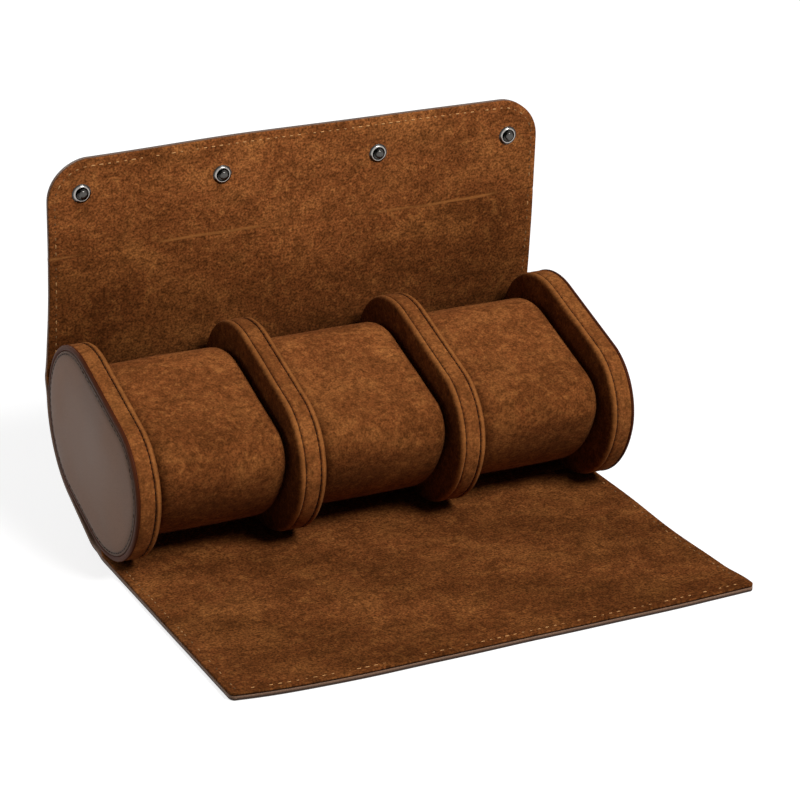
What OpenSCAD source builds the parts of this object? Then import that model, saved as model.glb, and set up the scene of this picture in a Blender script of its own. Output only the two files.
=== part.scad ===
// Watch travel case: a boxed body with three pillows, wrapped in one leather sheet whose
// back and front flaps fold over each other and close with press studs.
// X runs along the case, +Z is up and -Y is the side that the front flap lies on.
// The origin is on the table, under the lowest line of the body.

/* [Body] */
// Width over the two end caps
case_width = 214; // [190:1:300]
// Length of the rounded profile of caps and dividers
profile_length = 100; // [96:1:130]
// Height of the rounded profile
profile_height = 67; // [66:0.5:84]
// Radius of the profile's front top corner
front_top_r = 26; // [15:0.5:26]
// Radius of the profile's front low corner
front_low_r = 40; // [37:0.5:40.5]
// Lean of the profile, back end up, in degrees
lean = 19; // [15:0.5:21]

/* [Wrap] */
// Thickness of the outer leather
leather_t = 1.8; // [1.2:0.1:2.6]
// Thickness of the suede lining
lining_t = 1.2; // [1:0.1:2]
// Running gap between the closed wrap and the body
fit_gap = 0.3; // [0.2:0.05:0.8]
// How far back the flat foot reaches from the body's lowest line
foot_back = 15.5; // [8:0.5:18]

/* [Front flap] */
// Folds round the front low corner
low_folds = 4; // [3:1:5]
// Folds round the front top corner
top_folds = 3; // [2:1:4]
// Corner radius of the end panel
front_corner_r = 3.5; // [1:0.5:15]

/* [Back flap] */
// Folds over the back top corner, the crease included
back_folds = 4; // [3:1:6]
// Length of the end panel past the crease
back_panel = 42.8; // [38:0.1:46]
// Corner radius of the end panel
back_corner_r = 17.5; // [2:0.5:24]
// How far the first fold stands open of straight at rest, in degrees
first_set = 9; // [0:0.5:12]
// How far each next fold stands open of straight at rest, in degrees
back_set = 2.5; // [0:0.1:4]
// How far the crease, the last fold, stands open of straight at rest, in degrees
crease_set = 1; // [0:0.5:8]
// How much further the first fold opens, in degrees
back_extra = 8; // [0:0.5:10]

/* [End caps] */
// Thickness of a whole end cap
cap_t = 10.8; // [9:0.1:14]
// Width and depth of the leather piping rim
piping_w = 3; // [2:0.1:4]
// Depth of the leather panel inside the rim
cap_panel_t = 2.4; // [1:0.1:2.6]
// Thickness of the padded suede face on the inside
cap_face_t = 2.6; // [1.5:0.1:3.5]
// Thickness of the suede band round the boards
band_t = 1.2; // [0.6:0.1:2]

/* [Dividers] */
// Distance of each divider's middle from the middle of the case
divider_x = 34.2; // [26:0.2:40]
// Thickness of a whole divider
divider_t = 11.6; // [9:0.1:14]
// Thickness of each padded suede face
divider_face_t = 2.6; // [1.5:0.1:3.5]

/* [Pillows] */
// Gap between a pillow's end and the wall beside it
pillow_gap = 2.4; // [1:0.1:5]
// Inset of a pillow from the profile at the front, top and back
pillow_inset = 8.4; // [5:0.1:10]
// Radius of a pillow's front low corner
pillow_low_r = 47; // [44:0.5:47.5]
// Radius of a pillow's front top corner
pillow_top_r = 13.6; // [11:0.2:14]
// Radius of a pillow's soft shoulders
shoulder_r = 9; // [4:0.5:10]
// Thickness of the pillow cover
cover_t = 1.2; // [0.6:0.1:2]
// How far a pillow lies above the lining
pillow_seat_gap = 0.3; // [0.2:0.05:0.6]

/* [Press studs] */
// Distance of the outer studs from the middle of the case
stud_x_outer = 93; // [60:0.5:95]
// Distance of the inner studs from the middle of the case
stud_x_inner = 34; // [20:0.5:50]
// Distance of the studs from the back flap's edge
stud_edge = 16.9; // [12:0.1:22]
// Distance of the sockets from the front flap's edge
socket_edge = 18; // [12:0.5:20]
// Gap between the two flaps when they are closed
snap_gap = 1; // [0.9:0.05:1.3]
// Radius of a stud's flange
flange_r = 4.5; // [4:0.1:5.5]
// Thickness of a stud's flange
flange_t = 0.5; // [0.3:0.05:0.6]
// Height of the raised ring on the flange, from the lining
ring_h = 0.85; // [0.6:0.05:0.85]
// Outer radius of the raised ring
ring_r = 3.5; // [3.2:0.1:3.9]
// Radius of a stud's ball
ball_r = 1.7; // [1.4:0.05:1.8]
// Radius of a stud's neck
neck_r = 1.25; // [1:0.05:1.3]
// Height of a stud over the lining
stud_h = 2.3; // [2.1:0.05:2.35]
// Radius of a socket
socket_r = 4.6; // [4:0.1:5.5]
// Depth of a socket in the leather
socket_t = 1.7; // [1.6:0.05:1.75]
// Radius of a socket's hole
socket_bore_r = 2.15; // [2.1:0.05:2.4]
// Radius of the wire of a socket's ring spring
spring_wire_r = 0.25; // [0.15:0.01:0.25]
// Radius of a rear post's flange
post_r = 4; // [3:0.1:4.4]
// Thickness of a rear post's flange
post_t = 0.5; // [0.3:0.05:0.6]
// Radius of a rear post's pin
pin_r = 0.8; // [0.5:0.05:0.85]

/* [Hidden] */
wrap_t = leather_t + lining_t;
low_steps = 18; // chords in the long part of the low corner
corner_steps = 12; // chords in the top corner
foot_steps = 4; // chords in the part of the low corner over the foot
back_steps = 20; // chords in each half of the back end
clear = 0.05; // running clearance of the fasteners in their holes
seam = 0.06; // gap between two strips of the front flap
cover_gap = 0.1; // slack between a pillow's core and its cover
shoulder_steps = 4; // chords in a pillow's shoulder
round_fn = 48; // smoothness of the turned fasteners
pillow_chords = 8; // chords in each quarter of a pillow's section

front_count = low_folds + top_folds;

leather_colour = "#7d6258";
suede_colour = "#7a4524";
cap_colour = "#6f625c";
piping_colour = "#5b463e";
board_colour = "#b9a58a";
foam_colour = "#e4dcc8";
nickel_colour = "#c9c6c0";

// Points and directions in the Y-Z plane; the body's own axes are u, up its long side,
// and v, square to it. Both are counted from the centre of the front low corner.
low_c = [0, wrap_t + fit_gap + front_low_r];
function dir(a) = [cos(a), sin(a)];
function body(u, v) = low_c + u * dir(lean) + v * dir(lean + 90);
back_r = profile_height / 2;
top_r = min(front_top_r, profile_height - front_low_r);
top_c = body(top_r - front_low_r, profile_height - front_low_r - top_r);
back_c = body(profile_length - front_low_r - back_r, back_r - front_low_r);

// An arc round c from angle a to b in n chords, without its last point.
function arc(c, r, a, b, n) = [for (i = [0:n - 1]) c + r * dir(a + (b - a) * i / n)];

// The profile, grown by d all round.
function foot_arc(d) = arc(low_c, front_low_r + d, 270, 270 + lean, foot_steps);
function heel_arc(d) =
  concat([low_c + (front_low_r + d) * dir(270 + lean)],
    arc(back_c, back_r + d, lean - 90, lean, back_steps));
function outline(d) = concat(
  arc(top_c, top_r + d, lean + 90, lean + 180, corner_steps),
  [top_c + (top_r + d) * dir(lean + 180)],
  arc(low_c, front_low_r + d, lean + 180, 270, low_steps),
  foot_arc(d), heel_arc(d),
  arc(back_c, back_r + d, lean, lean + 90, back_steps),
  [back_c + (back_r + d) * dir(lean + 90)]);

// Sets a Y-Z outline across the case from x0 to x1.
module across(x0, x1) {
  translate([x0, 0, 0]) rotate([90, 0, 90]) linear_extrude(x1 - x0) children();
}
module full_width() { across(-case_width / 2, case_width / 2) children(); }
// The stretch from x0 to x1 on the right, or its mirror image on the left.
module on_side(side, x0, x1) {
  if (side > 0) across(x0, x1) children();
  else across(-x1, -x0) children();
}
module plate(d) { polygon(outline(-d)); }
module ring(outer, inner) { difference() { plate(outer); plate(inner); } }

// ---- Wrap under and behind the body ----
// The folds lie on a polygon round the closed wrap, so each one stands past the tangent.
low_fold = (90 - lean) / low_folds;
top_fold = 90 / top_folds;
back_fold = 90 / back_folds;
low_reach = (front_low_r + fit_gap) * tan(low_fold / 2);
top_reach = (top_r + fit_gap) * tan(top_fold / 2);
// The closed back flap ends clear of the front flap under it.
back_path_r = back_r + fit_gap + wrap_t + snap_gap;
back_reach = back_path_r * tan(back_fold / 2);
front_start = [-low_reach, wrap_t];
back_start = back_c + (back_r + fit_gap) * dir(lean) + back_reach * dir(lean + 90);

// The leather's outer side, moved in by d: flat foot, rise to the back end, and round it.
shell_r = back_r + fit_gap + wrap_t;
to_back = back_c - [foot_back, 0];
rise = atan2(to_back[1], to_back[0]) - asin(shell_r / norm(to_back));
function shell_line(d) = concat(
  [[-low_reach, d], [foot_back - d * tan(rise / 2), d]],
  arc(back_c, shell_r - d, rise - 90, lean, back_steps),
  [back_c + (shell_r - d) * dir(lean),
    back_start + (wrap_t - d) * (dir(lean) - tan(back_wedge(1)) * dir(lean + 90))]);
function reversed(list) = [for (i = [len(list) - 1:-1:0]) list[i]];

module base_leather() {
  color(leather_colour) full_width()
    polygon(concat(shell_line(0), reversed(shell_line(leather_t))));
}
module base_lining() {
  color(suede_colour) full_width()
    polygon(concat(shell_line(leather_t), [back_start], [back_c + back_r * dir(lean)],
      reversed(concat([front_start], foot_arc(0), heel_arc(0)))));
}

// ---- End caps: leather panel in a piped rim, board, suede band, suede face ----
cap_outer = case_width / 2;
cap_rim = cap_outer - piping_w;
cap_inner = cap_outer - cap_t;
cap_sunk = 0.6; // how far the panel lies under the rim
module cap_panel(side) {
  color(cap_colour)
    on_side(side, cap_outer - cap_sunk - cap_panel_t, cap_outer - cap_sunk) plate(piping_w);
}
module cap_piping(side) {
  color(piping_colour) on_side(side, cap_rim, cap_outer) ring(0, piping_w);
}
module cap_board(side) {
  color(board_colour) on_side(side, cap_inner + cap_face_t, cap_rim) plate(band_t);
}
module cap_band(side) {
  color(suede_colour) on_side(side, cap_inner + cap_face_t, cap_rim) ring(0, band_t);
}
module cap_face(side) {
  color(suede_colour) on_side(side, cap_inner, cap_inner + cap_face_t) plate(0);
}

// ---- Dividers: board, suede band, a suede face on each side ----
divider_low = divider_x - divider_t / 2;
divider_high = divider_x + divider_t / 2;
module divider_board(side) {
  color(board_colour)
    on_side(side, divider_low + divider_face_t, divider_high - divider_face_t) plate(band_t);
}
module divider_band(side) {
  color(suede_colour)
    on_side(side, divider_low + divider_face_t, divider_high - divider_face_t) ring(0, band_t);
}
module divider_outer_face(side) {
  color(suede_colour) on_side(side, divider_high - divider_face_t, divider_high) plate(0);
}
module divider_inner_face(side) {
  color(suede_colour) on_side(side, divider_low, divider_low + divider_face_t) plate(0);
}

// ---- Pillows ----
// A pillow's section is the profile's kind of shape, set in from it, and grown by d.
pillow_v0 = pillow_seat_gap - front_low_r;
pillow_v1 = profile_height - pillow_inset - front_low_r;
pillow_u0 = pillow_inset - front_low_r;
pillow_u1 = profile_length - pillow_inset - front_low_r;
pillow_back_r = (pillow_v1 - pillow_v0) / 2;
// The low corner stays inside the pillow's own height and length.
pillow_corner_r = min(pillow_low_r, pillow_v1 - pillow_v0 - pillow_top_r,
  pillow_u1 - pillow_u0 - pillow_back_r);
pillow_low_c = body(pillow_u0 + pillow_corner_r, pillow_v0 + pillow_corner_r);
pillow_top_c = body(pillow_u0 + pillow_top_r, pillow_v1 - pillow_top_r);
pillow_back_c = body(pillow_u1 - pillow_back_r, pillow_v0 + pillow_back_r);
function pillow_outline(d) = concat(
  arc(pillow_top_c, pillow_top_r + d, lean + 90, lean + 180, pillow_chords),
  [pillow_top_c + (pillow_top_r + d) * dir(lean + 180)],
  arc(pillow_low_c, pillow_corner_r + d, lean + 180, lean + 270, pillow_chords),
  [pillow_low_c + (pillow_corner_r + d) * dir(lean + 270)],
  arc(pillow_back_c, pillow_back_r + d, lean - 90, lean + 90, 2 * pillow_chords),
  [pillow_back_c + (pillow_back_r + d) * dir(lean + 90)]);
// Left, middle and right slots between the walls.
slots = [[-cap_inner, -divider_high], [-divider_low, divider_low], [divider_high, cap_inner]];
// A solid over a row of sections of equal count: rings[k] lies across the case at xs[k].
module loft(xs, rings) {
  n = len(rings[0]);
  last = len(xs) - 1;
  polyhedron(
    points = [for (k = [0:last], p = rings[k]) [xs[k], p[0], p[1]]],
    faces = concat(
      [[for (j = [n - 1:-1:0]) last * n + j]],
      [[for (j = [0:n - 1]) j]],
      [for (k = [0:last - 1], j = [0:n - 1])
        [k * n + j, (k + 1) * n + j, (k + 1) * n + (j + 1) % n, k * n + (j + 1) % n]]));
}
// A pillow, set in all round by inset: its shoulders are quarter rounds.
module pillow_form(i, inset) {
  x0 = slots[i][0] + pillow_gap + inset;
  x1 = slots[i][1] - pillow_gap - inset;
  r = shoulder_r - inset;
  turns = [for (k = [0:shoulder_steps]) 90 * k / shoulder_steps];
  loft(
    concat([for (t = turns) x0 + r * (1 - cos(t))],
      reversed([for (t = turns) x1 - r * (1 - cos(t))])),
    concat([for (t = turns) pillow_outline(-inset - r * (1 - sin(t)))],
      reversed([for (t = turns) pillow_outline(-inset - r * (1 - sin(t)))])));
}
module pillow_cover(i) {
  color(suede_colour) difference() {
    pillow_form(i, 0);
    pillow_form(i, cover_t);
  }
}
module pillow_core(i) { color(foam_colour) pillow_form(i, cover_t + cover_gap); }

// ---- Flaps ----
// A strip runs a length s from its fold; its depth t is counted from the lining's face
// outwards. place_back and place_front set such a strip on its fold at rest.
function total(list, n, i = 0) = i >= n ? 0 : list[i] + total(list, n, i + 1);

back_lengths = concat([for (i = [2:back_folds]) 2 * back_reach], [back_panel]);
back_sets = concat([first_set], [for (i = [3:back_folds]) back_set], [crease_set]);
function back_dir(i) = lean + 90 - total(back_sets, i);
function back_at(i) =
  i == 1 ? back_start : back_at(i - 1) + back_lengths[i - 2] * dir(back_dir(i - 1));
// The folds turn in step: each one's share is its own way from rest to closed. The leather's
// ends are cut back, half of the way on each side of a fold, so that it opens freely.
wedge_slack = 0.3;
function back_turn(i) = back_fold + back_sets[i - 1];
function back_wedge(i) = i > back_folds ? 0 :
  (back_sets[i - 1] + back_extra * back_turn(i) / back_turn(1)) / 2 + wedge_slack;
module place_back(i) {
  translate([0, back_at(i)[0], back_at(i)[1]]) rotate([back_dir(i), 0, 0]) children();
}

fold_slack = 2 * back_r; // more than any strip's depth or corner, to trim with
// A strip's section from depth t0 to t1, each end cut back by its wedge angle.
module strip_section(length, t0, t1, wedge0, wedge1) {
  polygon([[t0 * tan(wedge0), -t0], [length - t0 * tan(wedge1), -t0],
      [length - t1 * tan(wedge1), -t1], [t1 * tan(wedge0), -t1]]);
}
module back_strip(i, t0, t1) {
  strip_length = back_lengths[i - 1];
  place_back(i)
    if (i < back_folds) full_width()
      strip_section(strip_length, t0, t1, back_wedge(i), back_wedge(i + 1));
    else intersection() {
      full_width()
        strip_section(strip_length, t0, t1, back_wedge(i), back_wedge(i + 1));
      translate([0, 0, -fold_slack / 2]) linear_extrude(fold_slack)
        flap_end(0, strip_length, back_corner_r);
    }
}
// The end panel's outline from start to length, with its two far corners rounded.
module flap_end(start, length, r) {
  half = case_width / 2;
  polygon(concat([[-half, start], [half, start]],
      arc([half - r, length - r], r, 0, 90, corner_steps), [[half - r, length]],
      arc([r - half, length - r], r, 90, 180, corner_steps), [[-half, length - r]]));
}

// Both end panels lie along the body's top side when closed. These are the places of their
// folds along it, and so a stud meets its socket.
crease_u = profile_length + fit_gap - back_path_r + back_reach;
last_fold_u = top_r - top_reach;
stud_s = back_panel - stud_edge;
socket_s = crease_u - stud_s - last_fold_u;
front_panel = socket_s + socket_edge;

straight_front = profile_height - front_low_r - top_r;
front_lengths = concat(
  [for (i = [2:low_folds]) 2 * low_reach],
  [low_reach + straight_front + top_reach],
  [for (i = [2:top_folds]) 2 * top_reach],
  [front_panel]);
function front_at(i) = -low_reach - total(front_lengths, i - 1);
module place_front(i) {
  translate([0, front_at(i), wrap_t]) rotate([180, 0, 0]) children();
}
module front_strip(i, t0, t1) {
  strip_length = front_lengths[i - 1];
  place_front(i)
    if (i < front_count) full_width() translate([seam / 2, t0])
      square([strip_length - seam, t1 - t0]);
    else translate([0, 0, t0]) linear_extrude(t1 - t0)
      flap_end(seam / 2, strip_length, front_corner_r);
}

// The press studs' places across the case.
stud_xs = [-stud_x_outer, -stud_x_inner, stud_x_inner, stud_x_outer];
module at_studs() {
  place_back(back_folds) for (x = stud_xs) translate([x, stud_s, 0]) children();
}
module at_sockets() {
  place_front(front_count) for (x = stud_xs) translate([x, socket_s, wrap_t]) children();
}

module back_leather(i) {
  color(leather_colour)
    if (i < back_folds) back_strip(i, lining_t, wrap_t);
    else difference() {
      back_strip(i, lining_t, wrap_t);
      at_studs() translate([0, 0, -lining_t - post_t - clear])
        cylinder(h = 2 * post_t, r = post_r + clear, $fn = round_fn);
    }
}
module back_lining(i) {
  color(suede_colour)
    if (i < back_folds) back_strip(i, 0, lining_t);
    else difference() {
      back_strip(i, 0, lining_t);
      at_studs() translate([0, 0, -2 * lining_t])
        cylinder(h = 3 * lining_t, r = shank_r + clear, $fn = round_fn);
    }
}
module front_leather(i) {
  color(leather_colour)
    if (i < front_count) front_strip(i, lining_t, wrap_t);
    else difference() {
      front_strip(i, lining_t, wrap_t);
      at_sockets() {
        translate([0, 0, -socket_t - clear])
          cylinder(h = socket_t + 1, r = socket_r + clear, $fn = round_fn);
        translate([0, 0, -2 * leather_t])
          cylinder(h = 2 * leather_t, r = pin_r + clear, $fn = round_fn);
      }
    }
}
module front_lining(i) {
  color(suede_colour)
    if (i < front_count) front_strip(i, 0, lining_t);
    else difference() {
      front_strip(i, 0, lining_t);
      at_sockets() translate([0, 0, -leather_t - post_t - clear])
        cylinder(h = 2 * post_t, r = post_r + clear, $fn = round_fn);
    }
}

// ---- Press studs and sockets, turned parts; z = 0 is the face they are set in ----
shank_r = 1.5;
ring_inner_r = 2.9;
ball_base = 1.7; // where the neck widens to the ball
module snap_studs() {
  color(nickel_colour) at_studs() rotate_extrude($fn = round_fn) polygon([
      [pin_r + clear, -lining_t], [shank_r, -lining_t], [shank_r, 0], [flange_r, 0],
      [flange_r, flange_t], [ring_r, flange_t], [ring_r, ring_h], [ring_inner_r, ring_h],
      [ring_inner_r, flange_t], [neck_r, flange_t], [neck_r, ball_base - 0.1],
      [ball_r, ball_base + 0.1], [ball_r, stud_h - 0.3], [ball_r - 0.4, stud_h],
      [pin_r + clear, stud_h]]);
}
module snap_stud_posts() {
  color(nickel_colour) at_studs() rotate_extrude($fn = round_fn) polygon([
      [0, -lining_t - post_t], [post_r, -lining_t - post_t], [post_r, -lining_t],
      [pin_r, -lining_t], [pin_r, stud_h - 0.1], [0, stud_h - 0.1]]);
}
groove_top = -0.15;
groove_bottom = -0.75;
groove_r = 2.6;
spring_r = socket_bore_r - spring_wire_r - clear;
module snap_sockets() {
  color(nickel_colour) at_sockets() rotate_extrude($fn = round_fn) polygon([
      [pin_r + clear, -socket_t], [socket_r, -socket_t], [socket_r, 0], [socket_bore_r, 0],
      [socket_bore_r, groove_top], [groove_r, groove_top], [groove_r, groove_bottom],
      [socket_bore_r, groove_bottom], [socket_bore_r, -socket_t + 0.2],
      [pin_r + clear, -socket_t + 0.2]]);
}
module snap_springs() {
  color(nickel_colour) at_sockets() translate([0, 0, (groove_top + groove_bottom) / 2])
    rotate_extrude($fn = round_fn) translate([spring_r, 0]) circle(spring_wire_r, $fn = 16);
}
module snap_socket_posts() {
  color(nickel_colour) at_sockets() rotate_extrude($fn = round_fn) polygon([
      [0, -leather_t - post_t], [post_r, -leather_t - post_t], [post_r, -leather_t],
      [pin_r, -leather_t], [pin_r, -socket_t + 0.15], [0, -socket_t + 0.15]]);
}

base_leather();
base_lining();
for (side = [["left", -1], ["right", 1]]) {
  cap_panel(side[1]);
  cap_piping(side[1]);
  cap_board(side[1]);
  cap_band(side[1]);
  cap_face(side[1]);
  divider_board(side[1]);
  divider_band(side[1]);
  divider_outer_face(side[1]);
  divider_inner_face(side[1]);
}
for (place = [["left", 0], ["middle", 1], ["right", 2]]) {
  pillow_cover(place[1]);
  pillow_core(place[1]);
}
for (i = [1:back_folds]) {
  back_leather(i);
  back_lining(i);
}
for (i = [1:front_count]) {
  front_leather(i);
  front_lining(i);
}
snap_studs();
snap_stud_posts();
snap_sockets();
snap_springs();
snap_socket_posts();
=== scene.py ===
"""Surfaces, finishes and stage of a travel case for three wrist watches.

X runs along the case, +Z is up and -Y is the side that the front flap lies on. Lengths are in
metres and angles in degrees. A section is a set of (y, z) points, and s is a distance along the
cloth. Every piece keeps a point attribute named flat, the place of each point on the cloth
before it was folded, one of wear and painted light, from -1 for painted shade in sunk seams,
recesses and gaps to 1 on rubbed edges and painted highlights, and one of nap and painted
light, from -1 where the suede is brushed down to 1 where it is brushed up, which also carries
painted shade below 0 and painted light above 0.
"""

from types import SimpleNamespace

import bpy
import numpy as np
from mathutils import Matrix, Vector


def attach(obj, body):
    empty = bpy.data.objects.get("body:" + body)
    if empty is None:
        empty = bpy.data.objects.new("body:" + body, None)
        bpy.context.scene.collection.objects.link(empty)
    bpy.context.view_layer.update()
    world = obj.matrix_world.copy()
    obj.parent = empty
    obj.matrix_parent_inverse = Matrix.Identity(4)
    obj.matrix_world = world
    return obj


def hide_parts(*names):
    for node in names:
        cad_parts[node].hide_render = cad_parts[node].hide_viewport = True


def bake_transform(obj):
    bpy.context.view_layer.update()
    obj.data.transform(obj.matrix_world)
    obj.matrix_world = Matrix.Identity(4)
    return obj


bl_info = {
    "name": "Watch travel case",
    "version": (1, 0, 0),
    "blender": (4, 5, 0),
    "location": "View3D > Sidebar > Travel case",
    "description": "Builds the suede, leather and press studs of a watch travel case",
    "category": "Add Mesh",
}

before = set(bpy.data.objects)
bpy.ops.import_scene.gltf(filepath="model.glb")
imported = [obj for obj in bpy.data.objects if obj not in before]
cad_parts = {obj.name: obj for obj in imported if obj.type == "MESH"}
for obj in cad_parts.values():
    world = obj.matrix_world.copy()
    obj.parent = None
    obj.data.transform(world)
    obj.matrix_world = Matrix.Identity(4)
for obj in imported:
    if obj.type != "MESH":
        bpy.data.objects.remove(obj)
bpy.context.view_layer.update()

MM = 0.001

# ---- Sizes shared by the pieces ----
HALF = 107 * MM
PROFILE_LENGTH = 100 * MM
PROFILE_HEIGHT = 67 * MM
FRONT_TOP_R = 26 * MM
FRONT_LOW_R = 40 * MM
LEAN = 19
LEATHER = 1.8 * MM
LINING = 1.2 * MM
WRAP = LEATHER + LINING
FIT_GAP = 0.3 * MM
FOOT_BACK = 15.5 * MM
FOOT_TURN = 5 * MM
LOW_FOLDS = 4
TOP_FOLDS = 3
FRONT_FOLDS = LOW_FOLDS + TOP_FOLDS
BACK_FOLDS = 4
BACK_TURNS = (9, 2.5, 2.5, 1)
BACK_PANEL = 42.8 * MM
CAP = 10.8 * MM
DIVIDER_X = 34.2 * MM
DIVIDER = 11.6 * MM
FACE = 2.6 * MM
PILLOW_GAP = 2.4 * MM
PILLOW_INSET = 8.4 * MM
PILLOW_TOP_R = 13.6 * MM
PILLOW_SEAT_GAP = 0.3 * MM
PILLOW_LONGER = 0.8 * MM
SHOULDER_R = 5.8 * MM
STUD_XS = (-93 * MM, -34 * MM, 34 * MM, 93 * MM)
STUD_EDGE = 16.9 * MM
SOCKET_EDGE = 18 * MM
SOCKET_HOLE_R = 4.55 * MM
SOCKET_SKIN = 0.06 * MM
SNAP_GAP = 1 * MM
EDGE = 0.4 * MM
STITCH_INSET = 3.0 * MM
STITCH_WIDTH = 0.58 * MM
STITCH_HEIGHT = 0.42 * MM
LEATHER_TUCK = 0.9 * MM
LINING_TUCK = 2.6 * MM
# Points across a ribbon's face, and in each of its rounded corners.
FACE_POINTS, CORNER_POINTS = 70, 4
# How much a layer's rim is rubbed and painted with a highlight on its inner side, and how dark it
# is on its outer side: a dark joint, and painted contact shade under the leather.
LINING_RIM = (0.12, 1.3)
LEATHER_RIM = (0.35, 2.4)


def direction(angle):
    """The unit vector (cos, sin) of each angle, in the Y-Z plane."""
    angle = np.radians(angle)
    return np.stack([np.cos(angle), np.sin(angle)], axis=-1)


def smooth(t):
    """Goes from 0 at t = 0 to 1 at t = 1 along 3t^2 - 2t^3, and stays there."""
    t = np.clip(t, 0, 1)
    return t * t * (3 - 2 * t)


def ramp(x, start, span):
    """Goes smoothly from 0 at start to 1 at start + span, both in millimetres."""
    return smooth((x - start * MM) / (span * MM))


def bell(x, width):
    """1 at 0, falling as exp(-(x / width)^2), with the width in millimetres."""
    return np.exp(-((x / (width * MM)) ** 2))


def waves(a, b, seed, count=5):
    """A sum of sines over (a, b), with periods and phases from a seeded list; about -1 to 1."""
    rng = np.random.default_rng(seed)
    out = np.zeros(np.broadcast(a, b).shape)
    for k in range(count):
        fa, fb = rng.uniform(-1, 1, 2) * (k + 1)
        out = out + np.sin(2 * np.pi * (fa * a + fb * b) + rng.uniform(0, 6.28)) / (k + 1)
    return out / 1.6


def run_length(line):
    """The distance along a line to each of its points."""
    return np.r_[0, np.cumsum(np.linalg.norm(np.diff(line, axis=0), axis=1))]


def at_distance(where, length, line, period=None):
    """Points at the distances where, on a line whose own points lie at the distances length."""
    return np.stack([np.interp(where, length, line[:, k], period=period) for k in (0, 1)], axis=-1)


def follow(start, s, heading):
    """The line from start with these headings at the distances s: the running sum of them."""
    step = direction((heading[1:] + heading[:-1]) / 2) * (s[1] - s[0])
    return np.r_[[start], start + np.cumsum(step, axis=0)]


def tangents(normal):
    """The direction of growing s for each normal of the lining."""
    return np.c_[normal[:, 1], -normal[:, 0]]


# ---- The profile of caps and dividers, and the lines of the wrap ----
LOW_C = np.array([0, WRAP + FIT_GAP + FRONT_LOW_R])


def on_body(u, v):
    """The point u along the leaning body and v square to it, from the front low centre."""
    return LOW_C + u * direction(LEAN) + v * direction(LEAN + 90)


BACK_R = PROFILE_HEIGHT / 2
TOP_R = min(FRONT_TOP_R, PROFILE_HEIGHT - FRONT_LOW_R)
TOP_C = on_body(TOP_R - FRONT_LOW_R, PROFILE_HEIGHT - FRONT_LOW_R - TOP_R)
BACK_C = on_body(PROFILE_LENGTH - FRONT_LOW_R - BACK_R, BACK_R - FRONT_LOW_R)
BODY_MIDDLE = on_body(PROFILE_LENGTH / 2 - FRONT_LOW_R, PROFILE_HEIGHT / 2 - FRONT_LOW_R)

LOW_REACH = (FRONT_LOW_R + FIT_GAP) * np.tan(np.radians((90 - LEAN) / LOW_FOLDS / 2))
TOP_REACH = (TOP_R + FIT_GAP) * np.tan(np.radians(90 / TOP_FOLDS / 2))
BACK_PATH_R = BACK_R + FIT_GAP + WRAP + SNAP_GAP
BACK_REACH = BACK_PATH_R * np.tan(np.radians(90 / BACK_FOLDS / 2))
STUD_S = BACK_PANEL - STUD_EDGE
SOCKET_S = PROFILE_LENGTH + FIT_GAP - BACK_PATH_R + BACK_REACH - STUD_S - (TOP_R - TOP_REACH)
# Distances along the cloth: 0 under the body's lowest line, the front flap below it.
FRONT_AT = -LOW_REACH - np.cumsum([
    0,
    *[2 * LOW_REACH] * (LOW_FOLDS - 1),
    LOW_REACH + PROFILE_HEIGHT - FRONT_LOW_R - TOP_R + TOP_REACH,
    *[2 * TOP_REACH] * (TOP_FOLDS - 1),
    SOCKET_S + SOCKET_EDGE,
])
SOCKET_AT = FRONT_AT[-2] - SOCKET_S


def section_loop(arcs, count):
    """Evenly spaced points and outward normals round a closed section, and their distances.
    Each arc is (centre, radius, first angle, last angle); straight runs join the arcs."""
    turns = [np.linspace(first, last, 60) for _, _, first, last in arcs]
    points = np.concatenate([arc[0] + arc[1] * direction(turn) for arc, turn in zip(arcs, turns)])
    points = np.r_[points, points[:1]]
    turns = np.r_[np.concatenate(turns), turns[0][0] + 360]
    length = run_length(points)
    at = np.linspace(0, length[-1], count, endpoint=False)
    return at_distance(at, length, points), direction(np.interp(at, length, turns)), at


PROFILE = section_loop(
    [
        (TOP_C, TOP_R, LEAN + 90, LEAN + 180),
        (LOW_C, FRONT_LOW_R, LEAN + 180, LEAN + 270),
        (BACK_C, BACK_R, LEAN + 270, LEAN + 450),
    ],
    264,
)

# The back flap's lining, from the end of the body's back arc to the tip.
BACK_AT = BACK_REACH * (1 + 2 * np.arange(BACK_FOLDS))
BACK_TIP = BACK_AT[-1] + BACK_PANEL
BACK_S = np.linspace(0, BACK_TIP, 2400)
BACK_HEADING = LEAN + 90 - sum(
    turn * smooth((BACK_S - at + BACK_REACH) / (2 * BACK_REACH))
    for at, turn in zip(BACK_AT, BACK_TURNS)
)
BACK_LINE = follow(BACK_C + (BACK_R + FIT_GAP) * direction(LEAN), BACK_S, BACK_HEADING)

# The base's outer side: flat foot, rise, and round the back end.
SHELL_R = BACK_R + FIT_GAP + WRAP
TO_BACK = BACK_C - np.array([FOOT_BACK, 0])
RISE = np.degrees(
    np.arctan2(TO_BACK[1], TO_BACK[0]) - np.arcsin(SHELL_R / np.linalg.norm(TO_BACK))
)
RISE_END = np.linalg.norm(TO_BACK + SHELL_R * direction(RISE - 90))
BASE_LENGTH = FOOT_BACK + RISE_END + SHELL_R * np.radians(LEAN + 90 - RISE)


def back_at(s):
    """Points and normals of the back flap's lining at the distances s."""
    normal = direction(np.interp(s, BACK_S, BACK_HEADING) + 90)
    return at_distance(s, BACK_S, BACK_LINE), normal


def front_at(s):
    """The same for the front flap, which lies flat, one wrap's thickness over the table."""
    return np.c_[s, 0 * s + WRAP], np.c_[0 * s, 0 * s + 1]


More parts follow.
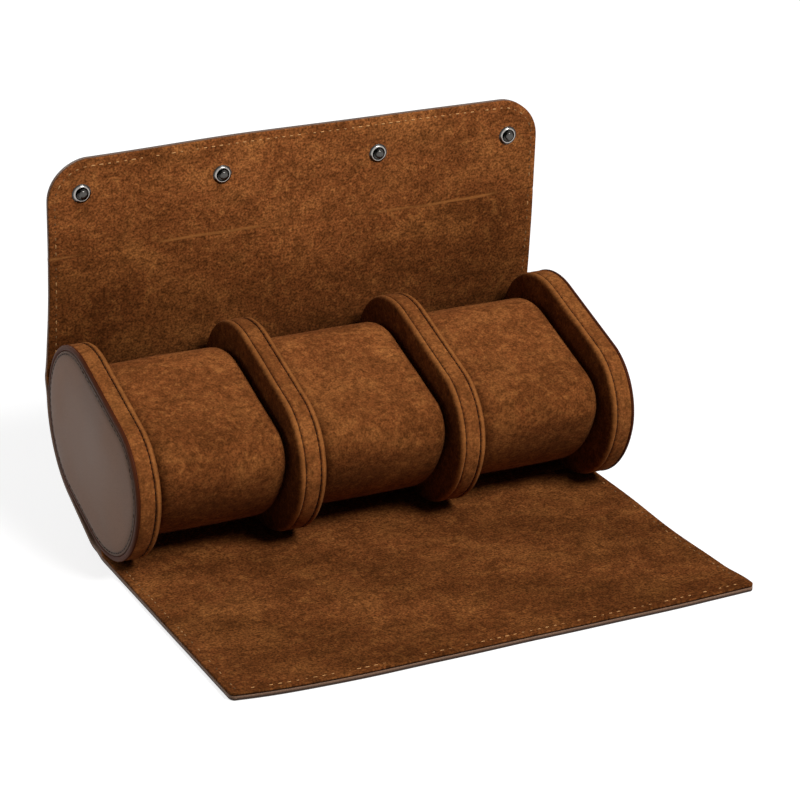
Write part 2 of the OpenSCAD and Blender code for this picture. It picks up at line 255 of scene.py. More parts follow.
def base_line(s, depth):
    """The base's line depth inside its outer side, at the distances s along that side."""

    def heading(at):
        risen = RISE * smooth((at - FOOT_BACK + FOOT_TURN) / (2 * FOOT_TURN))
        return risen + np.degrees(np.clip((at - FOOT_BACK - RISE_END) / SHELL_R, 0, None))

    fine = np.linspace(0, BASE_LENGTH, 4000)
    line = follow(np.zeros(2), fine, heading(fine))
    return at_distance(s, fine, line) + depth * direction(heading(s) + 90)


# ---- Meshes ----
def colour(code):
    """The linear RGBA of a hex colour."""
    c = np.array([int(code[k : k + 2], 16) for k in (1, 3, 5)]) / 255
    c = np.where(c <= 0.04045, c / 12.92, ((c + 0.055) / 1.055) ** 2.4)
    return (*c.tolist(), 1.0)


def round_middle(points, middle):
    """The angle of each point round the middle of its section, and the way out from there."""
    out = points[:, 1:] - middle
    away = out / np.linalg.norm(out, axis=1)[:, None].clip(0.001)
    return np.arctan2(out[:, 1], out[:, 0]), away


def grid_faces(rows, columns, closed=False):
    """Quads of a stack of rings, whose last ring joins the first one if closed."""
    index = np.arange(rows * columns).reshape(rows, columns)
    index = np.c_[index, index[:, :1]]
    if closed:
        index = np.r_[index, index[:1]]
    corners = index[:-1, :-1], index[:-1, 1:], index[1:, 1:], index[1:, :-1]
    return np.stack(corners, axis=-1).reshape(-1, 4)


def outward(points, faces):
    """The faces, turned over if the closed surface they make has a negative volume."""
    corner = points[faces] - points.mean(axis=0)
    volume = sum(
        (corner[:, 0] * np.cross(corner[:, k], corner[:, k + 1])).sum()
        for k in range(1, faces.shape[1] - 1)
    )
    return faces[:, ::-1] if volume < 0 else faces


def copies(face_sets, step, count):
    """The lists of faces of count copies of a mesh, which has step points."""
    after = step * np.arange(count)[:, None, None]
    return [(faces + after).reshape(-1, faces.shape[1]) for faces in face_sets]


def placed(name, data):
    """An object of this data in the scene."""
    made = bpy.data.objects.new(name, data)
    bpy.context.scene.collection.objects.link(made)
    return made


def new_mesh(name, points, face_sets):
    """A mesh of points (n, 3) and of lists of faces of equal corner counts."""
    mesh = bpy.data.meshes.new(name)
    mesh.from_pydata(points.tolist(), [], [face for faces in face_sets for face in faces.tolist()])
    return mesh


def new_piece(name, points, face_sets, material, flat=None, wear=None, nap=None, sharp=50):
    """A mesh object at the origin, with the attributes of its flat place, of wear and painted
    light, and of nap and painted light.
    """
    mesh = new_mesh(name, points, face_sets)
    zero = np.zeros(len(points))
    for key, kind, field, value in (
        ("flat", "FLOAT_VECTOR", "vector", points if flat is None else flat),
        ("wear", "FLOAT", "value", zero if wear is None else wear),
        ("nap", "FLOAT", "value", zero if nap is None else nap),
    ):
        made = mesh.attributes.new(key, kind, "POINT")
        made.data.foreach_set(field, np.asarray(value, np.float32).ravel())
    mesh.shade_smooth()
    mesh.set_sharp_from_angle(angle=np.radians(sharp))
    mesh.validate()
    mesh.materials.append(material)
    return placed(name, mesh)


def stand_in(piece, body, node_name):
    """The piece rides on the body and is shown for the frame's node, which is hidden."""
    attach(piece, body)
    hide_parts(node_name)
    return piece


def still(x, s):
    """No move and no tone anywhere on the cloth."""
    return 0 * (x + s)


def ribbon(name, inner, outer, width, s, material, rim_tones, cloth, tone=still, brushed_and_painted_light=still):
    """A strip of sheet across the case. Row j runs across at inner[j] on its lining side and
    outer[j] on its leather side, to width[j] each way. The ring of each row starts at the
    middle of the left edge and goes over the inner side first; edges are quarter rounds.
    cloth.lift(x, s) moves points along the row's normal, cloth.shift along the cloth and
    cloth.aside along X, and cloth.tip is the distance s of its free end."""
    turn = np.radians(np.linspace(90, 0, CORNER_POINTS))
    gap = np.linalg.norm(inner - outer, axis=1)[:, None]
    normal = (inner - outer) / gap
    reach, row = width[:, None] - EDGE, s[:, None]
    side = EDGE * np.sin(turn)
    fall = np.broadcast_to(EDGE * (1 - np.cos(turn)), (len(s), len(turn)))
    top = reach * np.linspace(-1, 1, FACE_POINTS + 2)[1:-1]
    x = np.c_[-reach - side, top, reach + side[::-1]]
    depth = np.c_[fall, 0 * top, fall[:, ::-1]]
    x, depth = np.c_[x, x[:, ::-1]], np.c_[depth, gap - depth[:, ::-1]]
    section = inner[:, None] + (cloth.lift(x, row) - depth)[..., None] * normal[:, None]
    section = section + cloth.shift(x, row)[..., None] * tangents(normal)[:, None]
    points = np.concatenate([(x + cloth.aside(x, row))[..., None], section], axis=-1)
    points = points.reshape(-1, 3)
    columns = x.shape[1]
    i = np.arange(columns // 2 - 1)
    end = np.c_[i, i + 1, columns - 2 - i, columns - 1 - i]
    faces = np.r_[grid_faces(len(s), columns), end[:, ::-1], (len(s) - 1) * columns + end]
    # Rims are rubbed and painted with a highlight on the inner side; on the outer side they show
    # the dark joint between lining and leather, and painted contact shade under the leather.
    rim = np.minimum(width[:, None] - np.abs(x), np.abs(cloth.tip - row))
    outside = smooth(1.6 * depth / gap - 0.6)
    rubbed_and_highlight, dark = rim_tones
    wear = rubbed_and_highlight * smooth(1 - rim / (1.1 * MM)) - dark * smooth(1 - rim / (0.5 * MM)) * outside
    flat = np.stack([x, row + 0 * x, depth], axis=-1)
    return new_piece(name, points, [outward(points, faces)], material, flat,
                     wear + tone(x, row), brushed_and_painted_light(x, row))


def rows_between(first, last, count):
    """Even distances from first to last, with two more close to each end."""
    near = np.array([0.05, 0.2]) * MM * np.sign(last - first)
    even = np.linspace(first, last, count)[1:-1]
    return np.r_[first, first + near, even, last - near[::-1], last]


def loft(x, inset, scale=1, loop=PROFILE, middle=BODY_MIDDLE):
    """Rings of a section loop: ring k lies at x[k], moved in by inset[k] along the loop's
    normals and then drawn towards middle to scale[k] of its size."""
    point, normal, _ = loop
    ring = point - inset[:, None, None] * normal
    ring = middle + np.reshape(scale, (-1, 1, 1)) * (ring - middle)
    x = np.broadcast_to(x[:, None, None], (len(x), len(point), 1))
    return np.concatenate([x, ring], axis=-1)


def stacked(rings, closed=False):
    """The points of a stack of rings, its lists of faces, and the place in the stack that each
    point takes its tone from. The first and last rings are closed with a middle point each,
    or joined to each other if closed."""
    rows, columns = rings.shape[:2]
    points = rings.reshape(-1, 3)
    count = len(points)
    quads = grid_faces(rows, columns, closed)
    turned = outward(points, quads)
    if closed:
        return points, [turned], np.arange(count)
    i = np.arange(columns)
    j = (i + 1) % columns
    last = count - columns
    fans = np.r_[np.c_[j, i, 0 * i + count], np.c_[last + i, last + j, 0 * i + count + 1]]
    if turned is not quads:
        fans = fans[:, ::-1]
    return np.r_[points, rings[[0, -1]].mean(axis=1)], [turned, fans], np.r_[:count, 0, count - 1]


def shell(name, rings, material, wear, closed=False, move=None, brushed_and_painted_light=None):
    """A loft as a piece, with one value of wear and painted light a ring, moved, brushed and
    painted by functions of its points.
    """
    if move is not None:
        rings = rings + move(rings.reshape(-1, 3)).reshape(rings.shape)
    points, faces, source = stacked(rings, closed)
    wear = np.repeat(wear, rings.shape[1])[source]
    nap = None if brushed_and_painted_light is None else brushed_and_painted_light(rings.reshape(-1, 3))[source]
    return new_piece(name, points, faces, material, None, wear, nap, 60)


def stitches(name, centre, along_v, up_v, size, material, uneven=0.0, darkening=0.0):
    """Short rounded stitches of size (length, width, height). Each is a six-sided spindle of
    five rings about along_v, sunk by a little under half of its height. uneven shortens some
    and sinks some by that share, and the last argument darkens them, each by its own amount."""
    length, width, height = size
    count = len(centre)
    luck = np.random.default_rng(count).uniform(0, 1, (2, count))
    length = (length * (1 - 0.4 * uneven * luck[0]))[:, None, None, None]
    centre = centre - (0.5 * uneven * height * luck[1] ** 2)[:, None] * up_v
    wear = np.repeat(-np.clip(darkening + 0.5 * uneven * (luck[0] - 0.4), 0, 1), 30)
    swell = np.array([0.35, 0.88, 1, 0.88, 0.35])[:, None, None]
    u = np.array([-0.5, -0.36, 0, 0.36, 0.5])[:, None, None]
    turn = np.radians(np.arange(6) * 60 + 30)[:, None]
    side_v = np.cross(up_v, along_v)[:, None, None]
    ring = np.cos(turn) * side_v * width / 2
    ring = ring + (np.sin(turn) * 0.5 + 0.1) * up_v[:, None, None] * height
    points = centre[:, None, None] + u * along_v[:, None, None] * length + ring * swell
    quads = grid_faces(5, 6)
    ends = np.stack([np.arange(6)[::-1], 24 + np.arange(6)])
    if outward(points[0].reshape(-1, 3), quads) is not quads:
        quads, ends = quads[:, ::-1], ends[:, ::-1]
    return new_piece(name, points.reshape(-1, 3), copies((quads, ends), 30, count), material,
                     None, wear, None, 80)


# ---- Shader nodes ----
def feed(tree, inputs, values):
    """Gives inputs of a node their numbers and colours, or links them to other sockets."""
    for key, value in values.items():
        if isinstance(value, bpy.types.NodeSocket):
            tree.links.new(value, inputs[key])
        else:
            inputs[key].default_value = value


def node(tree, kind, values=None, **settings):
    """A shader node with its settings and the values of its inputs."""
    made = tree.nodes.new(kind)
    for key, value in settings.items():
        setattr(made, key, value)
    feed(tree, made.inputs, values or {})
    return made


def group(name, inputs, outputs):
    """An empty node group, with its inputs and outputs. A socket is given by its name and its
    kind, or its first value where it is a plain number."""
    tree = bpy.data.node_groups.new(name, "ShaderNodeTree")
    for way, sockets in (("INPUT", inputs), ("OUTPUT", outputs)):
        for label, kind in sockets.items():
            word = kind if isinstance(kind, str) else "Float"
            made = tree.interface.new_socket(
                name=label, in_out=way, socket_type="NodeSocket" + word
            )
            if word == "Float":
                made.default_value = kind
    given, put = (tree.nodes.new("NodeGroup" + way) for way in ("Input", "Output"))
    return tree, given.outputs, put.inputs


def mix(tree, blend, factor, a, b):
    """The colour mix of a and b."""
    made = node(tree, "ShaderNodeMix", {0: factor, 6: a, 7: b}, data_type="RGBA", blend_type=blend)
    return made.outputs[2]


def spread(tree, value, low, high, to_low=0.0, to_high=1.0):
    """value from low..high taken smoothly to to_low..to_high."""
    links = {0: value, 1: low, 2: high, 3: to_low, 4: to_high}
    return node(tree, "ShaderNodeMapRange", links, interpolation_type="SMOOTHSTEP").outputs[0]


def noise(tree, vector, scale, detail, rough=0.5, distortion=0.0):
    """The value of a noise texture."""
    links = {"Vector": vector, "Scale": scale, "Detail": detail, "Roughness": rough,
             "Distortion": distortion}
    return node(tree, "ShaderNodeTexNoise", links).outputs[0]


def arithmetic(tree, operation, a, b=0.0):
    """The operation on a and b."""
    return node(tree, "ShaderNodeMath", {0: a, 1: b}, operation=operation).outputs[0]


def tinted(tree, tone, red, green, blue):
    """tone times three factors."""
    by = node(tree, "ShaderNodeCombineColor", {0: red, 1: green, 2: blue}).outputs[0]
    return mix(tree, "MULTIPLY", 1.0, tone, by)


def blended(tree, tone, other, layer, low, high, share, blend="MIX"):
    """tone with other mixed in: nothing where the layer is at low, and share at high."""
    return mix(tree, blend, spread(tree, layer, low, high, 0.0, share), tone, other)


def shaded(tree, tone, layer, low, high, swing):
    """tone times 1 - swing where the layer is at low, up to 1 + swing at high."""
    least, most = (arithmetic(tree, way, 1.0, swing) for way in ("SUBTRACT", "ADD"))
    bright = spread(tree, layer, low, high, least, most)
    return tinted(tree, tone, bright, bright, bright)


def nap_group(name):
    """Suede: fine grain, short brushed mottling and broad patches where the nap lies over."""
    tree, given, put = group(
        name,
        {"Place": "Vector", "Base": "Color", "Raised": "Color", "Pressed": "Color",
         "Wear": 0.0, "Nap": 0.0, "Grain": 1100.0, "Depth": 0.5},
        {"Colour": "Color", "Height": 0.0},
    )
    place, depth = given["Place"], given["Depth"]
    drawn = node(tree, "ShaderNodeMapping", {"Vector": place, "Scale": (0.35, 1.0, 1.0)}).outputs[0]
    grain = noise(tree, place, given["Grain"], 2.0, 0.6)
    mottle = noise(tree, place, 420.0, 3.0, 0.65, 0.3)
    patch = noise(tree, place, 34.0, 2.5, 0.5, 0.6)
    blotch = noise(tree, place, 135.0, 4.0, 0.62, 0.9)
    streak = noise(tree, drawn, 75.0, 3.0, 0.6, 0.8)
    blotched = arithmetic(tree, "MULTIPLY", depth, 0.9)
    tone = given["Base"]
    for layer, low, high, share, other in (
        (patch, 0.45, 0.72, 0.32, "Raised"), (patch, 0.52, 0.28, 0.35, "Pressed"),
        (streak, 0.5, 0.75, 0.35, "Raised"), (streak, 0.5, 0.3, 0.3, "Pressed"),
        (blotch, 0.53, 0.33, blotched, "Pressed"), (blotch, 0.52, 0.72, blotched, "Raised"),
        (mottle, 0.53, 0.33, 0.6, "Pressed"), (mottle, 0.52, 0.73, 0.42, "Raised"),
    ):
        tone = blended(tree, tone, given[other], layer, low, high, share)
    # Painted light and shade from the nap input: red, green and blue gain unequally where the nap
    # stands up to the light, and fall where it lies down.
    lie = arithmetic(tree, "MAXIMUM", given["Nap"], -1.0)
    tone = tinted(tree, tone, *[arithmetic(tree, "POWER", k, lie) for k in (2.3, 2.45, 2.8)])
    tone = shaded(tree, tone, grain, 0.28, 0.72, depth)
    # Rubbed edges and painted highlights take the raised colour where the wear input is above 0,
    # and painted shade goes towards near black where it is below 0.
    tone = blended(tree, tone, given["Raised"], given["Wear"], 0.0, 1.0, 0.75)
    tone = blended(tree, tone, (0.012, 0.006, 0.003, 1), given["Wear"], 0.0, -1.0, 0.85)
    height = arithmetic(tree, "MULTIPLY", arithmetic(tree, "ADD", grain, mottle), 0.6)
    feed(tree, put, {"Colour": tone, "Height": height})
    return tree


def hide_group(name):
    """Leather: closed pebbles with fine creases between them, and slow changes of tone."""
    tree, given, put = group(
        name,
        {"Place": "Vector", "Base": "Color", "Rubbed": "Color",
         "Wear": 0.0, "Pebbles": 900.0, "Rougher": 0.0},
        {"Colour": "Color", "Roughness": 0.5, "Height": 0.0},
    )
    place, wear = given["Place"], given["Wear"]
    drift = node(tree, "ShaderNodeTexNoise", {"Vector": place, "Scale": 500.0}).outputs[1]
    drift = node(tree, "ShaderNodeVectorMath", {0: drift, 1: (0.0006, 0.0006, 0.0006)},
                 operation="MULTIPLY").outputs[0]
    warp = node(tree, "ShaderNodeVectorMath", {0: place, 1: drift}, operation="ADD").outputs[0]
    cells = node(tree, "ShaderNodeTexVoronoi", {"Vector": warp, "Scale": given["Pebbles"]},
                 feature="DISTANCE_TO_EDGE").outputs["Distance"]
    crease = spread(tree, cells, 0.0, 0.16)
    fine = noise(tree, place, 2600.0, 2.0, 0.6)
    slow = noise(tree, place, 22.0, 3.0, 0.5, 0.4)
    tone = shaded(tree, given["Base"], slow, 0.3, 0.7, 0.1)
    tone = blended(tree, tone, (0.35, 0.3, 0.27, 1), crease, 1.0, 0.0, 0.28, "MULTIPLY")
    # Rubbed edges and painted highlights take the rubbed colour where the wear input is above 0,
    # and painted shade darkens the leather where it is below 0.
    tone = blended(tree, tone, given["Rubbed"], wear, 0.0, 1.0, 0.6)
    tone = blended(tree, tone, (0.06, 0.05, 0.045, 1), wear, 0.0, -1.0, 0.8, "MULTIPLY")
    rough = spread(tree, slow, 0.3, 0.7, 0.38, 0.52)
    rough = arithmetic(tree, "ADD", rough, given["Rougher"])
    height = arithmetic(tree, "ADD", arithmetic(tree, "MULTIPLY", crease, 0.8),
                        arithmetic(tree, "MULTIPLY", fine, 0.25))
    feed(tree, put, {"Colour": tone, "Roughness": rough, "Height": height})
    return tree


def even_group(name):
    """Thread, board, foam and nickel: one colour with fine noise in tone, gloss and height."""
    tree, given, put = group(
        name,
        {"Place": "Vector", "Base": "Color", "Wear": 0.0, "Scale": 900.0, "Swing": 0.12,
         "Rough": 0.5},
        {"Colour": "Color", "Roughness": 0.5, "Height": 0.0},
    )
    rough = given["Rough"]
    fine = noise(tree, given["Place"], given["Scale"], 3.0, 0.6)
    tone = shaded(tree, given["Base"], fine, 0.25, 0.75, given["Swing"])
    # Painted shade and painted dark reflection go towards near black where the wear input is below
    # 0.
    tone = blended(tree, tone, (0.01, 0.009, 0.008, 1), given["Wear"], 0.0, -1.0, 0.9)
    rough = spread(tree, fine, 0.2, 0.8, arithmetic(tree, "SUBTRACT", rough, 0.06),
                   arithmetic(tree, "ADD", rough, 0.08))
    feed(tree, put, {"Colour": tone, "Roughness": rough, "Height": fine})
    return tree


# ---- Finishes ----
EFFECTS = {"Suede nap": nap_group, "Leather grain": hide_group, "Even surface": even_group}


def principled(name):
    """A new material, its node tree and the inputs of its shader."""
    made = bpy.data.materials.new(name)
    made.use_nodes = True
    return made, made.node_tree, made.node_tree.nodes["Principled BSDF"].inputs


def finish(name, effect, given, settings, strength, distance):
    """A material with one effect's node group. given holds the group's values, settings the
    shader's own, and strength and distance are those of its bump."""
    made, tree, inputs = principled(name)
    sources = {"Wear": ("wear", "Fac"), "Nap": ("nap", "Fac"), "Place": ("flat", "Vector")}
    if effect == "Even surface":
        given["Place"] = node(tree, "ShaderNodeTexCoord").outputs["Object"]
    pattern = node(tree, "ShaderNodeGroup",
                   node_tree=bpy.data.node_groups.get(effect) or EFFECTS[effect](effect))
    for key, (source, output) in sources.items():
        if key in pattern.inputs and key not in given:
            given[key] = node(tree, "ShaderNodeAttribute", attribute_name=source).outputs[output]
    feed(tree, pattern.inputs, given)
    over = pattern.outputs
    bump = node(tree, "ShaderNodeBump",
                {"Strength": strength, "Distance": distance, "Height": over["Height"]})
    feed(tree, inputs, {**settings, "Base Color": over["Colour"], "Normal": bump.outputs[0]})
    if "Roughness" in over:
        feed(tree, inputs, {"Roughness": over["Roughness"]})
    return made


def chosen(key):
    """A colour of the settings."""
    return tuple(getattr(bpy.context.scene.case_colours, key))


def suede(name, grain, depth):
    """A suede finish."""
    given = {"Base": chosen("suede"), "Raised": chosen("suede_raised"),
             "Pressed": chosen("suede_pressed"), "Grain": grain, "Depth": depth}
    settings = {"Roughness": 0.95, "Specular IOR Level": 0.02, "Sheen Weight": 0.03,
                "Sheen Roughness": 0.45, "Sheen Tint": (0.95, 0.55, 0.28, 1)}
    return finish(name, "Suede nap", given, settings, 0.5, 0.0003)


def leather(name, base, rubbed_and_highlight, pebbles, strength, rougher, gloss):
    """A leather finish."""
    given = {"Base": chosen(base), "Rubbed": colour(rubbed_and_highlight), "Pebbles": pebbles,
             "Rougher": rougher}
    return finish(name, "Leather grain", given, {"Specular IOR Level": gloss}, strength, 0.00012)


def plain(name, base, rough, metallic, scale, swing, strength):
    """A finish of one even colour."""
    given = {"Base": colour(base), "Scale": scale, "Swing": swing, "Rough": rough}
    settings = {"Metallic": metallic, "Specular IOR Level": 0.5 if metallic else 0.08}
    return finish(name, "Even surface", given, settings, strength, 0.0001)


FINISHES = {
    # grain, depth of the grain
    "wrap_suede": (suede, 1100.0, 0.52),
    "body_suede": (suede, 1250.0, 0.36),
    # colour, rubbed and highlight colour, pebbles, bump, added roughness, gloss
    "wrap_hide": (leather, "wrap_leather", "#93705a", 950.0, 0.4, 0.05, 0.15),
    "cap_hide": (leather, "cap_leather", "#8d7669", 1500.0, 0.12, 0.04, 0.06),
    "piping_hide": (leather, "piping", "#7a5640", 1500.0, 0.12, -0.05, 0.03),
    # colour, roughness, metallic, scale of the noise, its swing in tone, bump
    "tan_thread": (plain, "#c8935d", 0.7, 0.0, 5000.0, 0.25, 0.3),
    "dark_thread": (plain, "#1c0e07", 0.7, 0.0, 5000.0, 0.25, 0.3),
    "bright_nickel": (plain, "#a19d98", 0.2, 1.0, 700.0, 0.06, 0.03),
    "board_fibre": (plain, "#b9a58a", 0.85, 0.0, 1800.0, 0.15, 0.3),
    "core_foam": (plain, "#e4dcc8", 0.95, 0.0, 1400.0, 0.12, 0.5),
}


def look(name):
    """The finish of that name, made the first time that it is asked for."""
    build, *values = FINISHES[name]
    return bpy.data.materials.get(name) or build(name, *values)


# ---- The wrap under and behind the body ----
BASE = SimpleNamespace(lift=still, shift=still, aside=still, tip=np.inf)


def base_pieces():
    """The lining's inner side follows the profile, its outer side and the leather follow the
    base line."""
    middle = FOOT_BACK + RISE_END
    s = np.r_[rows_between(0, middle, 44), rows_between(middle, BASE_LENGTH, 56)[1:]]
    outer, face = base_line(s, 0), base_line(s, LEATHER)
    # The wrap's edges lie a little inside the end caps.
    tuck = ramp(s, 0, 12) * ramp(BASE_LENGTH - s, 0, 12)
    piece = ribbon("base_wrap_leather", face, outer, HALF - LEATHER_TUCK * tuck, s,
                   look("wrap_hide"), LEATHER_RIM, BASE)
    stand_in(piece, "case_body", "base_leather")
    # From 270 degrees under the low centre, along the heel and round the back to the lean. It
    # lies close to the body, but stands off in its first 4 degrees and in its last 45.
    clear = 0.02 * MM
    low = np.linspace(270, 270 + LEAN, 20)
    back = np.linspace(LEAN - 90, LEAN, 60)
    low_r = FRONT_LOW_R + clear + (FIT_GAP - clear) * smooth((274 - low) / 4)
    back_r = BACK_R + clear + 0.93 * FIT_GAP * smooth((back - LEAN + 45) / 45)
    line = np.r_[LOW_C + low_r[:, None] * direction(low),
                 BACK_C + back_r[:, None] * direction(back)]
    length = run_length(line)
    inner = at_distance(s / s[-1] * length[-1], length, line)
    piece = ribbon("base_wrap_lining", inner, face, HALF - LINING_TUCK * tuck, s,
                   look("wrap_suede"), LINING_RIM, BASE)
    stand_in(piece, "case_body", "base_lining")


# ---- The flaps ----
def back_shift(x, s):
    """The top edge sits a little lower on the left than on the right."""
    low = 1.6 + 1.4 * ramp(-x, 20, 75)
    return -low * MM * smooth((s - 40 * MM) / (BACK_TIP - 40 * MM))


def back_lift(x, s):
    """Slow waves over the back flap, nothing at its foot or along the studs, and the sunk line
    of the crease, which fades here and there."""
    slow = 0.22 * MM * waves(x / 0.16, s / 0.09, 11, 3) * ramp(s, 8, 30)
    slow = slow * ramp(np.abs(s - BACK_AT[-1] - STUD_S), 0, 14)
    fade = 0.45 + 0.55 * smooth(0.5 + waves(x / 0.05, 0 * s, 9, 3))
    return slow - 0.32 * MM * fade * bell(from_crease(x, s), 0.75)


def from_crease(x, s):
    """The distance from the back flap's crease, which wanders by about a millimetre."""
    return s - BACK_AT[-1] - 0.9 * MM * waves(x / 0.09, 0 * s, 5, 4)


def crease_wear_and_shade(x, s):
    """Rubbed beyond the crease, and painted shade a little before it, where it is sharp."""
    fade = smooth(0.55 + 1.3 * waves(x / 0.07, 0 * s, 9, 3))
    light = bell(from_crease(x, s) - 1.0 * MM, 0.6)
    dark = bell(from_crease(x, s) + 1.1 * MM, 1.2)
    return fade * (1.1 * light - 0.15 * dark)


def back_nap_and_painted_light(x, s):
    """Painted shade at the foot, where the body shades the flap, and towards both edges, painted
    light in a broad patch in the middle, and slow waves of brushed nap.
    """
    foot = ramp(-s, -66, 46)
    left = ramp(-x, 20, 75) * ramp(-s, -88, 40)
    right = ramp(x, 25, 60) * ramp(-s, -105, 50)
    return 0.2 - 0.45 * foot - 0.4 * left - 0.3 * right + 0.1 * waves(x / 0.08, s / 0.06, 3, 5)


def front_nap_and_painted_shade(x, s):
    """Painted shade all over, most of all on the right and at the edge, in patches of brushed nap.
    """
    right, edge = ramp(x, 10, 70), ramp(-s, 90, 40)
    return -0.36 - 0.12 * right - 0.22 * edge + 0.24 * waves(x / 0.07, s / 0.05, 13, 7)


def front_lift(x, s):
    """Low waves over the front flap, nothing near the body."""
    return 0.12 * MM * (1 + waves(x / 0.12, s / 0.08, 23, 3)) * ramp(-s, 10, 30)


def front_shift(x, s):
    """The bow of the front edge, and a slight wave in it, fading towards the body."""
    t = np.clip(x / HALF, -1, 1)
    bow = 0.8 + 4.6 * (1 - t**4) * (0.65 - 0.35 * t) + 0.35 * waves(x / 0.11, 0 * s, 31, 3)
    return -bow * MM * ramp(-s, 40, 85)


def front_side(x, s):
    """The right edge of the front flap draws in half way out and flares at its corner."""
    flare = 1.6 * ramp(-s, 110, 15)
    waist = 1.4 * bell(s + 72 * MM, 28)
    return (flare - waist) * MM * smooth((x / HALF - 0.3) / 0.7)


def back_width(s):
    """How far each side of the back flap is drawn in."""
    return 0.5 * MM * ramp(s, 8, 30)


# Fold k starts at bounds[k] and is bent up to reaches[k]. sunk is the depth of the stitches in
# the lining and in the leather, and drawn_in how far the sides stand back at the distances s.
FRONT_BOUNDS = np.r_[0, (FRONT_AT[:-2] + FRONT_AT[1:-1]) / 2]
BACK = SimpleNamespace(
    side="back", folds=BACK_FOLDS, at=back_at, tip=BACK_TIP, corner_r=17.5 * MM,
    bounds=BACK_AT - BACK_REACH, reaches=BACK_AT + BACK_REACH, rows=16, tip_step=0.6 * MM,
    sunk=(0, 0), drawn_in=back_width, lift=back_lift, shift=back_shift, aside=still,
    tone=crease_wear_and_shade, brushed_and_painted_light=back_nap_and_painted_light,
)
FRONT = SimpleNamespace(
    side="front", folds=FRONT_FOLDS, at=front_at, tip=FRONT_AT[-1], corner_r=2.2 * MM,
    bounds=FRONT_BOUNDS, reaches=np.r_[FRONT_BOUNDS[1:], 2 * FRONT_AT[-2] - FRONT_BOUNDS[-1]],
    rows=12, tip_step=1.25 * MM, sunk=(0.1 * MM, 0.15 * MM), drawn_in=lambda s: 0 * s,
    lift=front_lift, shift=front_shift, aside=front_side, tone=still, brushed_and_painted_light=front_nap_and_painted_shade,
)


def panel_width(s, flap):
    """Half the width of a flap at distances s, drawn in round the tip's corners."""
    r = flap.corner_r
    past = np.clip(np.sign(flap.tip) * (s - flap.tip) + r, 0, r)
    return HALF - r + np.sqrt(np.maximum(r**2 - past**2, 0)) - flap.drawn_in(s)


def rows_to_tip(first, flap):
    """Distances from first to the tip, closer together round the tip's corners."""
    reach = abs(flap.tip - first)
    straight = reach - flap.corner_r
    arc = np.radians(np.linspace(0, 90, 16))[1:-1]
    turn = np.radians(np.linspace(0, 90, 7))
    rows = np.sort(np.r_[
        np.linspace(0, straight, max(2, int(straight / flap.tip_step))),
        straight + flap.corner_r * np.sin(arc),
        0.05 * MM, 0.2 * MM,
        reach - EDGE * (1 - np.sin(turn)),
    ])
    rows = rows[np.append(True, np.diff(rows) > 0.008 * MM)]
    rows[-1] = reach
    return first + np.sign(flap.tip) * rows


def read(data, field, width):
    """All values of a field, in rows of that width."""
    values = np.empty(len(data) * width, np.float32)
    data.foreach_get(field, values)
    return values.reshape(-1, width)


def bore(piece, centres, radius, low, high):
    """Cuts round holes along Z, from low to high, in a flat piece of the front flap. The new
    points get their places on the cloth, and painted shade darkens the holes' rims."""
    circle = radius * direction(np.arange(0, 360, 10))
    sides = len(circle)
    rings = [np.c_[c + circle, np.full(sides, z)] for c in centres for z in (low, high)]
    i = np.arange(sides)
    faces = copies((grid_faces(2, sides), np.stack([i[::-1], i + sides])), 2 * sides, len(centres))
    cutter = placed("bores", new_mesh("bores", np.concatenate(rings), faces))
    cut = piece.modifiers.new("bores", "BOOLEAN")
    cut.operation, cut.solver, cut.object = "DIFFERENCE", "EXACT", cutter
    graph = bpy.context.evaluated_depsgraph_get()
    made = bpy.data.meshes.new_from_object(piece.evaluated_get(graph))
    piece.modifiers.clear()
    bpy.data.objects.remove(cutter)
    x, y, z = read(made.vertices, "co", 3).T
    near = np.min([np.hypot(x - c[0], y - c[1]) for c in centres], axis=0) < radius * 1.02
    for key, field, new in (
        ("flat", "vector", np.c_[x, y - front_shift(x, y), WRAP - z]),
        ("wear", "value", np.full((len(x), 1), -0.6)),
    ):
        data = made.attributes[key].data
        values = read(data, field, new.shape[1])
        values[near] = new[near]
        data.foreach_set(field, values.ravel())
    made.set_sharp_from_angle(angle=np.radians(50))
    piece.data = made


def fold_pieces(flap, number, rows):
    """The lining and the leather of one fold. Each layer's faces draw together in a quarter round
    at the tip."""
    inner, normal = flap.at(rows)
    face, outer = inner - LINING * normal, inner - WRAP * normal
    width = panel_width(rows, flap)
    past = np.clip((EDGE - np.abs(flap.tip - rows)) / EDGE, 0, 1)
    draw = (EDGE * (1 - np.sqrt(1 - past**2)))[:, None] * normal
    lining = ribbon(f"{flap.side}_fold_{number}_lining", inner - draw, face + draw, width, rows,
                    look("wrap_suede"), LINING_RIM, flap, flap.tone, flap.brushed_and_painted_light)
    leather = ribbon(f"{flap.side}_fold_{number}_leather", face - draw, outer + draw, width, rows,
                     look("wrap_hide"), LEATHER_RIM, flap)
    if (flap.side, number) == ("front", FRONT_FOLDS):
        bore(leather, [(x, SOCKET_AT) for x in STUD_XS], SOCKET_HOLE_R, -1 * MM,
             LEATHER - SOCKET_SKIN)
    for piece, layer, slot_name in ((lining, "lining", "suede"),
                                    (leather, "leather", "wrap_leather")):
        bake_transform(piece)
        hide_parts(f"{flap.side}_{layer}_{number}")


